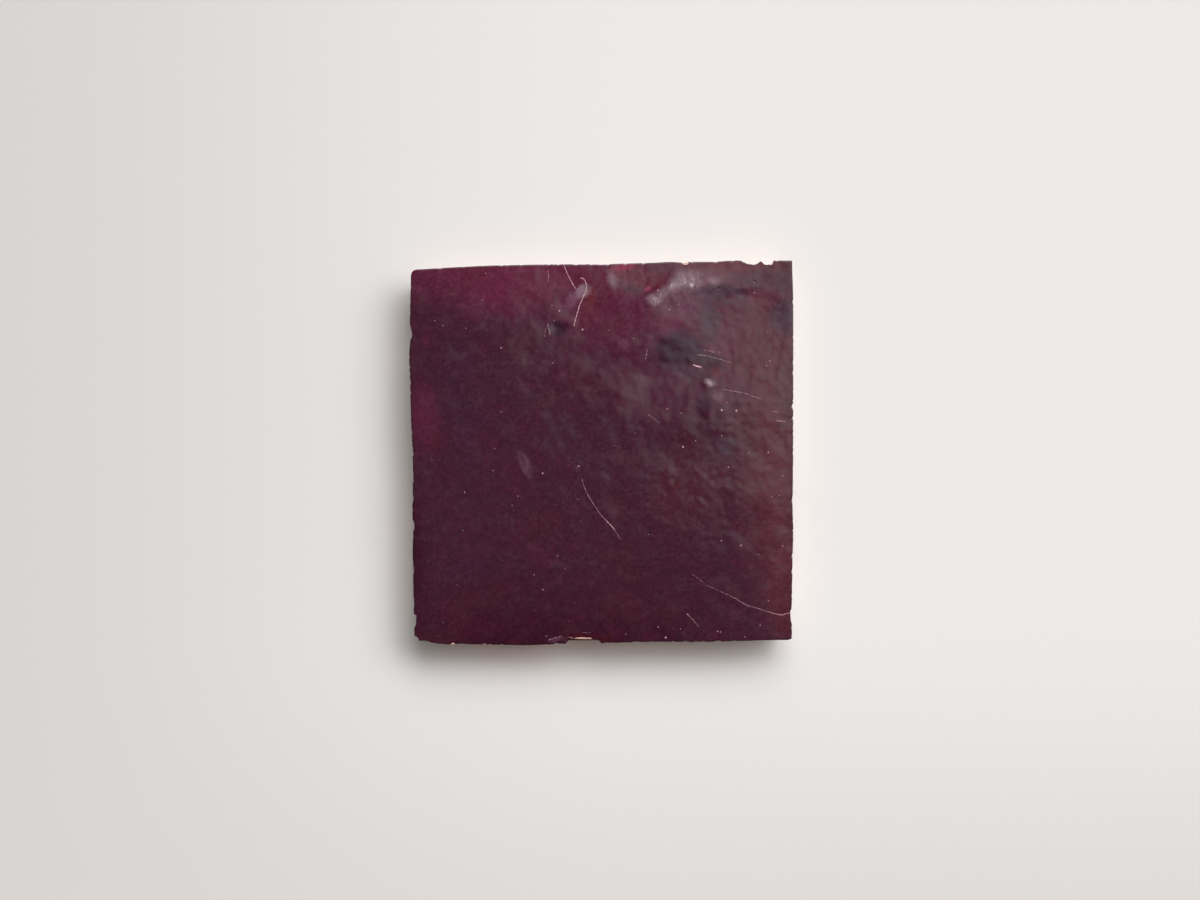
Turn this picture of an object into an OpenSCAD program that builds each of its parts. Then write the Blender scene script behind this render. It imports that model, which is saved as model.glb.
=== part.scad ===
// Hand-cut glazed tile: one fired piece, lying on its back with the glaze up.
// X runs left to right, Y from the near side to the far side, Z up from the back.
// The origin is the middle of the back. All lengths are in millimetres.

/* [Face] */
// Width of the glazed face, left side to right side
face_w = 100; // [80:1:150]
// Length of the glazed face, near side to far side
face_l = 100; // [80:1:150]
// Thickness at the middle of the face
tile_t = 12; // [9:0.5:16]
// Drop of the face from its middle to the middle of a side
face_crown = 0.35; // [0:0.05:1]
// Height of the tallest swell left by beating the clay flat
swell_h = 0.3; // [0:0.02:0.6]

/* [Glazed edge] */
// Radius over which the glaze rolls from the face into a side
rim_r = 0.3; // [0.2:0.1:1.2]
// Radius of the corners, seen from above
corner_r = 0.8; // [0.4:0.1:2]
// How far the cut edges wander from straight lines, 1 being this tile's own wander
edge_wander = 1; // [0:0.1:1.5]
// Height of the upright lip between the rolled glaze and the undercut
lip_h = 1; // [0.4:0.1:2.5]

/* [Undercut] */
// Slope of the undercut that lets neighbours meet at their glazed edges, in degrees
undercut_angle = 12; // [4:1:18]
// Hammer strokes in one row along a side, of two rows
strokes = 9; // [6:1:12]
// Uneven depth of the strokes, 0 for one flat bevel
stroke_depth = 0.4; // [0:0.05:0.6]
// Width of the broken arris round the back
arris_w = 0.6; // [0.2:0.1:1]

/* [Chips] */
// Size of the chips knocked out of the edges, 1 being this tile's own
chip_scale = 1; // [0.6:0.1:1.2]

/* [Hidden] */
half_w = face_w / 2;
half_l = face_l / 2;
// Half side of the tile that the tables below were drawn on: they stretch with the face
drawn_half = 50;

// How much rounder or sharper each corner is: near left, near right, far left and far right
corner_shares = [1, 1, 1.3, 0.4];

// Rows of facets across the open face, and the distances in from a side of the rows in its rim and corners
face_rows = 34;
rim_steps = [0, 0.08, 0.35, 1];
corner_steps = [0.5, 1.2];
edge_steps = concat(rim_steps * rim_r, [for (s = corner_steps) rim_r + s * corner_r]);
margin = edge_steps[len(edge_steps) - 1];
last = face_rows + 2 * (len(edge_steps) - 1);

// Distances outwards from a straight side, at places along it. X runs to the right and Y to the far side.
far_line = [[-48, -2.1], [-40, -1.6], [-30, -1.1], [-18, -0.85], [-4, -0.7], [0, -0.9], [4, -0.6],
            [13, -0.4], [17, -0.15], [30, -0.1], [33.5, 0.25], [48, 0.25]];
near_line = [[-48, -0.9], [-44, -0.2], [-41, 0.2], [-38, -0.1], [-30, 0.1], [-20, 0.3], [-12, 0],
             [1, -0.3], [8, -0.5], [15, -0.65], [25, -0.55], [35, -0.8], [46, -1.1]];
left_line = [[-47, -1.1], [-41, -0.9], [-36, -0.85], [-26, -0.65], [-19, -0.85], [-16, -0.5], [-11, -0.7],
             [-2, -0.75], [4, -0.45], [9, -0.2], [17, -0.05], [26, 0.3], [31, -0.2], [35, 0.1], [47, -0.2]];
right_line = [[-47, -0.25], [-40, -0.3], [-35, -0.2], [-28, -0.1], [-20, 0.1], [-15, -0.1], [0, 0.05],
              [35, 0.1], [42, 0.05], [48, -0.2]];

// Swells and hollows of the face: place across, place along, spread and share of swell_h
swells = [[-30, 30, 16, 0.5], [-28, -22, 18, -0.35], [4, -6, 20, 0.45], [14, 40, 9, 0.8], [28, 27, 8, -0.9],
          [30, 12, 9, 0.7], [40, 38, 7, -0.6], [36, -18, 14, 0.4], [6, -38, 12, -0.5], [-8, 34, 7, -0.5]];

// Chips in the glazed edge: side, place along it, width, depth and how far the scar leans out, in degrees
chips = [["far", 39.2, 5.2, 1.05, 2], ["far", 43.2, 2.9, 1.15, 2], ["far", 44.1, 1.4, 1.05, 2],
         ["far", 21.6, 1.9, 0.7, 12], ["near", -4.7, 8.4, 1.5, 5], ["near", -8, 2.4, 1.1, 3],
         ["near", -1.4, 2.6, 1, 3], ["near", -11.6, 2.2, 0.3, 8], ["near", 30.5, 2, 0.3, 6],
         ["left", -43.9, 3.6, 0.6, 3], ["left", -42.9, 1.6, 0.55, 3], ["left", 31, 2.6, 0.35, 6],
         ["left", -19, 2.4, 0.3, 6], ["right", -41.5, 1.5, 0.45, 4], ["right", -43, 3.6, 0.35, 6],
         ["right", 12.2, 1.8, 0.3, 8]];
// Chip broken out of the near left corner: width, depth and lean
corner_chip = [3.6, 0.8, 4];
// How far a chip's bite reaches above the face, clear of every swell, and down past the undercut's start
chip_clear = 1;
bite_reach = tile_t * 0.8;

// The undercut: its slope, the heights of its two rows of strokes as shares of the lip's foot, and the
// shares of a row by which the stroke's place drifts from even spacing
undercut_slope = tan(undercut_angle);
upper_row = 0.62;
lower_row = 0.35;
stroke_drift = 0.025;
stroke_seed = 7;
// How far the corners are dressed back past the ridges between strokes
corner_dressing = 0.35;

// Radius of a round bite of a given width and depth
function bite_r(width, depth) = (width * width / 4 + depth * depth) / (2 * depth);
function sgn(a) = a < 0 ? -1 : 1;
// How far a side stands out from straight, at a place along it
function line_at(line, b, half) = edge_wander * lookup(b * drawn_half / half, line);

// Place across the face at each step, from one side to the other
function across(i, half) =
    i < len(edge_steps) ? edge_steps[i] - half :
    i > last - len(edge_steps) ? half - edge_steps[last - i] :
    (i - last / 2) * 2 * (half - margin) / face_rows;

// Radius of the nearest corner
function corner_at(x, y) = corner_r * corner_shares[(x < 0 ? 0 : 1) + (y < 0 ? 0 : 2)];
// How far a place lies into the square of a corner, from 0 at its inner side to 1 at the outline
function into_corner(a, half, r) = max(0, (abs(a) - half + r) / r);
// A place pulled in so that the square corner becomes round
function rounded(a, b, half_a, half_b, r) =
    let (in_a = into_corner(a, half_a, r), in_b = into_corner(b, half_b, r))
    in_a > 0 ? sgn(a) * (half_a - r + r * in_a * sqrt(1 - in_b * in_b / 2)) : a;

// The outline's wander, strongest at the side itself
function wander(a, b, half_a, half_b, low_line, high_line) =
    sgn(a) * pow(abs(a) / half_a, 4) * line_at(a < 0 ? low_line : high_line, b, half_b);
function plan(x, y) =
    let (r = corner_at(x, y))
    [rounded(x, y, half_w, half_l, r) + wander(x, y, half_w, half_l, left_line, right_line),
     rounded(y, x, half_l, half_w, r) + wander(y, x, half_l, half_w, near_line, far_line)];

// Depth below the face where the glaze rolls over, from the distance to the nearest edge
function edge_distance(x, y) =
    let (r = corner_at(x, y), in_x = into_corner(x, half_w, r), in_y = into_corner(y, half_l, r),
         cx = in_x * sqrt(1 - in_y * in_y / 2), cy = in_y * sqrt(1 - in_x * in_x / 2))
    in_x > 0 && in_y > 0 ? r * (1 - norm([cx, cy])) : min(half_w - abs(x), half_l - abs(y));
function roll(d) = d >= rim_r ? 0 : rim_r - sqrt(rim_r * rim_r - pow(rim_r - max(0, d), 2));

// Height of the open face: the crown and the swells
function swell(u, v, s) = swell_h * s[3] * exp(-(pow(u - s[0], 2) + pow(v - s[1], 2)) / (2 * s[2] * s[2]));
function swells_at(x, y) =
    let (u = x * drawn_half / half_w, v = y * drawn_half / half_l)
    [for (s = swells) swell(u, v, s)] * [for (s = swells) 1];
function face_height(x, y) =
    tile_t - face_crown * (pow(x / half_w, 2) + pow(y / half_l, 2)) + swells_at(x, y) - swells_at(0, 0);

// The open face, row by row
function face_point(i, j) =
    let (x = across(i, half_w), y = across(j, half_l), p = plan(x, y))
    [p[0], p[1], face_height(x, y) - roll(edge_distance(x, y))];
face_points = [for (j = [0:last], i = [0:last]) face_point(i, j)];
function face_index(i, j) = j * (last + 1) + i;
face_facets = [for (j = [0:last - 1], i = [0:last - 1])
    each let (a = face_index(i, j), b = face_index(i + 1, j),
              c = face_index(i + 1, j + 1), d = face_index(i, j + 1))
    [[a, c, b], [a, d, c]]];

// The outline, counter-clockwise from the near left corner
outline = concat([for (i = [0:last - 1]) face_index(i, 0)], [for (j = [0:last - 1]) face_index(last, j)],
                 [for (i = [last:-1:1]) face_index(i, last)], [for (j = [last:-1:1]) face_index(0, j)]);
turn = len(outline);

// Each hammer stroke leaves a shallow scallop between two ridges. A row holds a count of strokes, and the
// rows are those of the left, right, near and far side, first the upper ones and then the lower.
ridges = rands(-0.8, 0, 8 * (strokes + 1), stroke_seed);
scallops = rands(0.3, 1.2, 8 * strokes, stroke_seed + 1);
function ridge_at(row, k) = k == 0 || k == strokes ? corner_dressing : ridges[row * (strokes + 1) + k];
function stroke_share(row, b, half) =
    let (even = (b / half + 1) / 2, drift = stroke_drift * sin(720 * even + 100 * row) * sin(180 * even),
         place = min(max(even + drift, 0), 1) * strokes, stroke = min(floor(place), strokes - 1),
         along = place - stroke)
    1 + stroke_depth * ((1 - along) * ridge_at(row, stroke) + along * ridge_at(row, stroke + 1)
                        + scallops[row * strokes + stroke] * 4 * along * (1 - along));
// The shares by which the strokes of a row cut in across X and across Y, at a point of the outline
function shares_at(p, row) =
    [stroke_share(4 * row + (p[0] < 0 ? 0 : 1), p[1], half_l),
     stroke_share(4 * row + (p[1] < 0 ? 2 : 3), p[0], half_w)];

// A point below the outline, drawn in from both sides that it lies between
function drawn_in(p, inset, z) = [p[0] * (1 - inset[0] / half_w), p[1] * (1 - inset[1] / half_l), z];
// The foot of the lip is higher where the stroke below it bit deeper
function lip_foot(p) = let (s = shares_at(p, 0)) p[2] - lip_h / max(s[0], s[1]);
function lip_point(p) = drawn_in(p, [0, 0], lip_foot(p));
function undercut_point(p, row, z, extra = 0) =
    drawn_in(p, [for (s = shares_at(p, row)) (lip_foot(p) - z) * undercut_slope * s + extra], z);
edge_points = [for (k = outline) face_points[k]];
ring_points = concat([for (p = edge_points) lip_point(p)],
                     [for (p = edge_points) undercut_point(p, 0, lip_foot(p) * upper_row)],
                     [for (p = edge_points) undercut_point(p, 1, lip_foot(p) * lower_row)],
                     [for (p = edge_points) undercut_point(p, 1, arris_w)],
                     [for (p = edge_points) undercut_point(p, 1, 0, arris_w)]);
rings = len(ring_points) / turn;

first_ring = len(face_points);
function ring_index(ring, k) = ring < 0 ? outline[k % turn] : first_ring + ring * turn + k % turn;
side_facets = [for (ring = [-1:rings - 2], k = [0:turn - 1])
    each [[ring_index(ring, k), ring_index(ring, k + 1), ring_index(ring + 1, k + 1)],
          [ring_index(ring, k), ring_index(ring + 1, k + 1), ring_index(ring + 1, k)]]];
back_middle = first_ring + rings * turn;
back_facets = [for (k = [0:turn - 1])
    [ring_index(rings - 1, k), ring_index(rings - 1, k + 1), back_middle]];

// The outline's box, to put its middle over the origin
outline_x = [for (p = edge_points) p[0]];
outline_y = [for (p = edge_points) p[1]];
middle = [(min(outline_x) + max(outline_x)) / 2, (min(outline_y) + max(outline_y)) / 2];

// The fired clay with its glaze, before any chip was knocked off
module blank() {
    polyhedron(points = concat(face_points, ring_points, [[0, 0, 0]]),
               faces = concat(face_facets, side_facets, back_facets));
}

// A bite out of an edge that faces +Y, at the origin: it leans outwards down to where it leaves the undercut
module bite(width, depth, lean) {
    r = bite_r(width, depth) * chip_scale;
    translate([0, -depth * chip_scale, 0])
        rotate([lean, 0, 0])
            translate([0, r, -bite_reach])
                cylinder(r = r, h = bite_reach + chip_clear, $fn = 72);
}

// A chip in one side, at a place on the drawn tile
module chip(side, place, width, depth, lean) {
    x = place * half_w / drawn_half;
    y = place * half_l / drawn_half;
    at = side == "far" ? [x, half_l + line_at(far_line, x, half_w)] :
         side == "near" ? [x, -half_l - line_at(near_line, x, half_w)] :
         side == "left" ? [-half_w - line_at(left_line, y, half_l), y] :
         [half_w + line_at(right_line, y, half_l), y];
    turned = side == "far" ? 0 : side == "left" ? 90 : side == "near" ? 180 : 270;
    translate([at[0], at[1], face_height(at[0], at[1])]) rotate([0, 0, turned]) bite(width, depth, lean);
}

// The chip in the near left corner
module corner_bite() {
    back_off = corner_r * (1 - sqrt(0.5));
    x = -half_w - line_at(left_line, -half_l, half_l) + back_off;
    y = -half_l - line_at(near_line, -half_w, half_w) + back_off;
    translate([x, y, face_height(x, y)]) rotate([0, 0, 135])
        bite(corner_chip[0], corner_chip[1], corner_chip[2]);
}

module tile() {
    color([0.29, 0.13, 0.19])
        translate([-middle[0], -middle[1], 0])
            difference() {
                blank();
                for (c = chips) chip(c[0], c[1], c[2], c[3], c[4]);
                corner_bite();
            }
}

tile();
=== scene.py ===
"""A hand-made glazed clay tile, lying face up on a pale floor under soft light from its far right."""

import logging
import math
from dataclasses import dataclass, field
from enum import Enum

import bmesh
import bpy
import numpy as np
from mathutils import Color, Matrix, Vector, noise
from mathutils.bvhtree import BVHTree


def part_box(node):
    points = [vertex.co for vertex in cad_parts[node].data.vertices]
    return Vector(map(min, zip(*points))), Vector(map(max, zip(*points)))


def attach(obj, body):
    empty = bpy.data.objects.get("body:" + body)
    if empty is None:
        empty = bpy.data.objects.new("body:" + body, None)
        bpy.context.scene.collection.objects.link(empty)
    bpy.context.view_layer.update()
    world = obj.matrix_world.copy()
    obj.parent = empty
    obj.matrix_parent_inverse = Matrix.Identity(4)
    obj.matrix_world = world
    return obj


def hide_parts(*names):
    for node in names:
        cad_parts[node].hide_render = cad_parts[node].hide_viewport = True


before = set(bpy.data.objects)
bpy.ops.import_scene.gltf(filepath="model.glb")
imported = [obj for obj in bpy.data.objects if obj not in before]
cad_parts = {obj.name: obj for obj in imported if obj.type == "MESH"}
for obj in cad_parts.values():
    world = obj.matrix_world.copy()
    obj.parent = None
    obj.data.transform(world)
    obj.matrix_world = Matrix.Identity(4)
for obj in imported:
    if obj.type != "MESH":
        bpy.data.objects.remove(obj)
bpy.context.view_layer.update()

MM = 0.001
log = logging.getLogger("tile")


def srgb(red: int, green: int, blue: int) -> tuple[float, ...]:
    """Turn a colour as seen on a screen, 0 to 255, into the linear colour that a shader takes."""
    return tuple(Color((red / 255, green / 255, blue / 255)).from_srgb_to_scene_linear())


def cloud(places: np.ndarray, grain: float, layers: int) -> np.ndarray:
    """Give a cloudy noise at places on the mesh.

    Args:
        places: places in millimetres, with two or three coordinates.
        grain: the size of its largest forms, in millimetres.
        layers: how many layers it has, each half as large and half as strong as the one before.

    Returns:
        The noise, from about -0.5 to 0.5.
    """
    flat = places.reshape(-1, places.shape[-1])
    total = np.zeros(len(flat))
    for layer in range(layers):
        scaled = np.zeros((len(flat), 3))
        scaled[:, :flat.shape[1]] = flat * (2 ** layer / grain)
        scaled += 17.3 * (layer + 1)
        total += np.array([noise.noise(row) for row in scaled.tolist()]) / 2 ** layer
    return total.reshape(places.shape[:-1])


class Tint(Enum):
    """The colours that the glaze takes where it lies thick, thin or burnt, and those of the clay and the
    floor, some of them used as painted reflection, painted glints and painted shade.
    """

    PLUM = srgb(67, 29, 47)
    GRAPE = srgb(63, 22, 40)
    WINE = srgb(99, 35, 60)
    VIOLET = srgb(88, 33, 58)
    RUSSET = srgb(90, 38, 50)
    CHERRY = srgb(150, 56, 84)
    CLARET = srgb(90, 20, 44)
    MULBERRY = srgb(76, 10, 44)
    AUBERGINE = srgb(53, 11, 32)
    BRICK = srgb(104, 40, 50)
    # Dusty pink, also used as the painted sheen of a reflection.
    DUSTY_PINK_AND_SHEEN = srgb(104, 57, 70)
    MAUVE = srgb(112, 64, 88)
    SLATE = srgb(74, 50, 62)
    TEAL = srgb(44, 12, 34)
    INDIGO = srgb(60, 32, 56)
    INK = srgb(48, 10, 36)
    # Ash grey, also used as the painted sheen of a reflection.
    ASH_GREY_AND_SHEEN = srgb(132, 102, 114)
    # Painted reflection and painted highlight.
    PAINTED_REFLECTION = srgb(205, 180, 192)
    # Scratches, and painted glints of flecks and specks.
    SCRATCH_AND_GLINT = srgb(232, 184, 192)
    EMBER = srgb(66, 14, 24)
    UMBER = srgb(76, 28, 38)
    # Painted shade, at the rim and in pits and pinholes.
    PAINTED_SHADE = srgb(24, 8, 14)
    CLAY = srgb(214, 194, 182)
    CLAY_PALE = srgb(244, 198, 182)
    CLAY_DEEP = srgb(180, 154, 140)
    CLAY_SMOKE = srgb(142, 122, 112)
    CLAY_FLASH = srgb(202, 132, 106)
    FLOOR = srgb(243, 240, 238)
    # Painted shade of the floor.
    FLOOR_PAINTED_SHADE = srgb(222, 218, 215)


class Wire:
    """A number, place or colour in a node tree. Python's arithmetic on a number adds Math nodes."""

    def __init__(self, recipe: "Recipe", socket: bpy.types.NodeSocket) -> None:
        """Wrap an output socket."""
        self.recipe = recipe
        self.socket = socket

    def math(self, operation: str, *others: "Wire | float", first: bool = True) -> "Wire":
        """Add a Math node, with this number in its first socket, or in its second if first is False."""
        values = (self, *others) if first else (*others, self)
        return self.recipe.node("ShaderNodeMath", {"operation": operation}, *values)

    def __add__(self, other: "Wire | float") -> "Wire":
        """Add."""
        return self.math("ADD", other)

    __radd__ = __add__

    def __mul__(self, other: "Wire | float") -> "Wire":
        """Multiply."""
        return self.math("MULTIPLY", other)

    __rmul__ = __mul__

    def __sub__(self, other: "Wire | float") -> "Wire":
        """Subtract."""
        return self.math("SUBTRACT", other)

    def __rsub__(self, other: "Wire | float") -> "Wire":
        """Subtract this from a number."""
        return self.math("SUBTRACT", other, first=False)

    def size(self) -> "Wire":
        """Take the value without its sign."""
        return self.math("ABSOLUTE")

    def at_most(self, other: "Wire | float") -> "Wire":
        """Take the lower of two values."""
        return self.math("MINIMUM", other)

    def at_least(self, other: "Wire | float") -> "Wire":
        """Take the higher of two values."""
        return self.math("MAXIMUM", other)

    def step(self, low: float, high: float, low_value: float = 0.0, high_value: float = 1.0) -> "Wire":
        """Pass smoothly from low_value, which holds up to low, to high_value, which holds from high on."""
        settings = {"interpolation_type": "SMOOTHSTEP", "clamp": False}
        return self.recipe.node("ShaderNodeMapRange", settings, self, low, high, low_value, high_value)

    def vector(self, operation: str, *others: "Wire | tuple", out: int | str = 0, **named) -> "Wire":
        """Add a Vector Math node, with this value in its first socket."""
        settings = {"operation": operation}
        return self.recipe.node("ShaderNodeVectorMath", settings, self, *others, out=out, **named)

    def part(self, axis: str) -> "Wire":
        """Give one component."""
        return self.recipe.node("ShaderNodeSeparateXYZ", None, self, out=axis)

    def noise(self, grain: float, detail: float = 2.0, rough: float = 0.5, out: str = "Fac") -> "Wire":
        """Give a cloudy noise around 0.5 at this place, with forms of up to grain millimetres."""
        return self.recipe.node("ShaderNodeTexNoise", None, self, out=out, Scale=1 / grain, Detail=detail,
                                Roughness=rough)

    def stir(self, grain: float, reach: float) -> "Wire":
        """Push this place about by up to reach millimetres, which makes the edges drawn on it ragged."""
        push = self.noise(grain, 3.0, out="Color").vector("SUBTRACT", (0.5, 0.5, 0.5))
        return push.vector("MULTIPLY_ADD", (3 * reach, 3 * reach, 3 * reach), self)

    def strewn(self, grain: float, core: float, size: float, axis: str = "X") -> tuple["Wire", "Wire"]:
        """Strew round dots at random over this place.

        Args:
            grain: the mean distance between dots, in millimetres.
            core: the radius inside which a dot is full, in millimetres.
            size: the radius at which a dot ends, in millimetres.
            axis: which one of a dot's random numbers is given.

        Returns:
            The strength of the nearest dot here, and its random number, both from 0 to 1.
        """
        away, lot = (self.recipe.node("ShaderNodeTexVoronoi", None, self, out=out, Scale=1 / grain)
                     for out in ("Distance", "Color"))
        return away.step(core / grain, size / grain, 1.0, 0.0), lot.part(axis)


class Recipe:
    """The node tree of a material or a world, under construction."""

    def __init__(self, owner: bpy.types.Material | bpy.types.World) -> None:
        """Start from an empty tree."""
        owner.use_nodes = True
        self.tree = owner.node_tree
        self.tree.nodes.clear()

    def node(self, kind: str, settings: dict | None = None, *values, out: int | str = 0,
             **named) -> Wire | None:
        """Add a node of any kind.

        Args:
            kind: the node's type.
            settings: properties of the node, set before its sockets.
            values: values or links of its input sockets, in their order.
            out: the output socket that is returned.
            named: values or links of its input sockets, by name with _ for a space.

        Returns:
            The chosen output, or None where the node has none.
        """
        made = self.tree.nodes.new(kind)
        for name, setting in (settings or {}).items():
            setattr(made, name, setting)
        shown = [socket for socket in made.inputs if socket.enabled]
        pairs = list(zip(shown, values))
        for name, value in named.items():
            pairs.append((next(s for s in shown if s.name == name.replace("_", " ")), value))
        for socket, value in pairs:
            if isinstance(value, Wire):
                self.tree.links.new(value.socket, socket)
            else:
                socket.default_value = value
        outputs = [socket for socket in made.outputs if socket.enabled]
        if not outputs:
            return None
        chosen = outputs[out] if isinstance(out, int) else next(s for s in outputs if s.name == out)
        return Wire(self, chosen)

    def place(self) -> Wire:
        """Give the place on the object, in millimetres."""
        return self.node("ShaderNodeTexCoord", out="Object").vector("MULTIPLY", (1 / MM, 1 / MM, 1 / MM))

    def attribute(self, name: str) -> Wire:
        """Give a number that the mesh holds at each of its points."""
        return self.node("ShaderNodeAttribute", {"attribute_name": name}, out="Fac")

    def mix(self, share: Wire | float, under: Wire | Tint, over: Wire | Tint) -> Wire:
        """Mix two colours, share being how much of the second there is."""
        pair = ((*c.value, 1.0) if isinstance(c, Tint) else c for c in (under, over))
        return self.node("ShaderNodeMix", {"data_type": "RGBA"}, share, *pair)

    def finish(self, shader: Wire, output: str = "ShaderNodeOutputMaterial") -> None:
        """Send the shader to the tree's output."""
        self.node(output, None, shader)


@dataclass(frozen=True)
class Spot:
    """An oval place on the tile's face, in millimetres from its middle."""

    x: float
    y: float
    long: float
    wide: float
    turn: float = 0.0

    TALL = 1000.0

    def inside(self, where: Wire) -> Wire:
        """Give how deep inside the spot a place lies in a material.

        Args:
            where: the place, in millimetres.

        Returns:
            The depth, 1 in the spot's middle and 0 from its rim on.
        """
        turn, half_sizes = (0.0, 0.0, math.radians(self.turn)), (self.long / 2, self.wide / 2, self.TALL)
        moved = where.recipe.node("ShaderNodeMapping", {"vector_type": "TEXTURE"}, where,
                                  (self.x, self.y, 0.0), turn, half_sizes)
        return where.recipe.node("ShaderNodeTexGradient", {"gradient_type": "SPHERICAL"}, moved, out="Fac")

    def distance(self, places: np.ndarray) -> np.ndarray:
        """Give the distance from the spot's middle on the mesh, 1 being its rim.

        Args:
            places: places in millimetres.

        Returns:
            Their distances.
        """
        turn = math.radians(self.turn)
        x, y = places[..., 0] - self.x, places[..., 1] - self.y
        along = (x * math.cos(turn) + y * math.sin(turn)) / (self.long / 2)
        aside = (y * math.cos(turn) - x * math.sin(turn)) / (self.wide / 2)
        return np.hypot(along, aside)


@dataclass(frozen=True)
class Stain:
    """A patch where the glaze has another tint, or where painted reflection lies on it, in one sheet or
    broken into grains of a given size.
    """

    spot: Spot
    tint: Tint
    strength: float
    core: float = 0.2
    grain: float = 0.0

    def lay(self, where: Wire, under: Wire) -> Wire:
        """Lay the patch over a colour.

        Args:
            where: the place, in millimetres.
            under: the colour so far.

        Returns:
            The colour with the patch.
        """
        share = self.spot.inside(where).step(0.0, 1 - self.core, 0.0, self.strength)
        if self.grain:
            drawn = where.vector("MULTIPLY", (1.0, 0.4, 1.0))
            share = share * drawn.noise(self.grain, 2.0, 0.6).step(0.4, 0.64)
        return where.recipe.mix(share, under, self.tint)


@dataclass(frozen=True)
class Scratch:
    """A scratch through points on the face, in millimetres, with its width and its strength."""

    points: tuple[tuple[float, float], ...]
    width: float
    strength: float

    def mark(self, where: Wire) -> Wire:
        """Draw the scratch.

        Args:
            where: the place, in millimetres.

        Returns:
            The scratch's strength there, 0 away from it.
        """
        found: Wire | None = None
        for (ax, ay), (bx, by) in zip(self.points, self.points[1:]):
            half = math.hypot(bx - ax, by - ay) / 2
            along = ((bx - ax) / half / 2, (by - ay) / half / 2, 0.0)
            across = (-along[1], along[0], 0.0)
            moved = where.vector("SUBTRACT", ((ax + bx) / 2, (ay + by) / 2, 0.0))
            beyond = moved.vector("DOT_PRODUCT", along, out="Value").size() - half
            away = beyond.at_least(moved.vector("DOT_PRODUCT", across, out="Value").size())
            found = away if found is None else found.at_most(away)
        return found.step(self.width * 0.15, self.width * 0.6, self.strength, 0.0)


@dataclass(frozen=True)
class Flecks:
    """Small round marks of one size at points on the face, in millimetres."""

    points: tuple[tuple[float, float], ...]
    size: float
    strength: float

    def mark(self, where: Wire) -> Wire:
        """Draw the marks.

        Args:
            where: the place, in millimetres.

        Returns:
            The marks' strength there, 0 away from them.
        """
        nearest: Wire | None = None
        for x, y in self.points:
            away = where.vector("DISTANCE", (x, y, 0.0), out="Value")
            nearest = away if nearest is None else nearest.at_most(away)
        return nearest.step(self.size * 0.2, self.size * 0.6, self.strength, 0.0)


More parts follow.
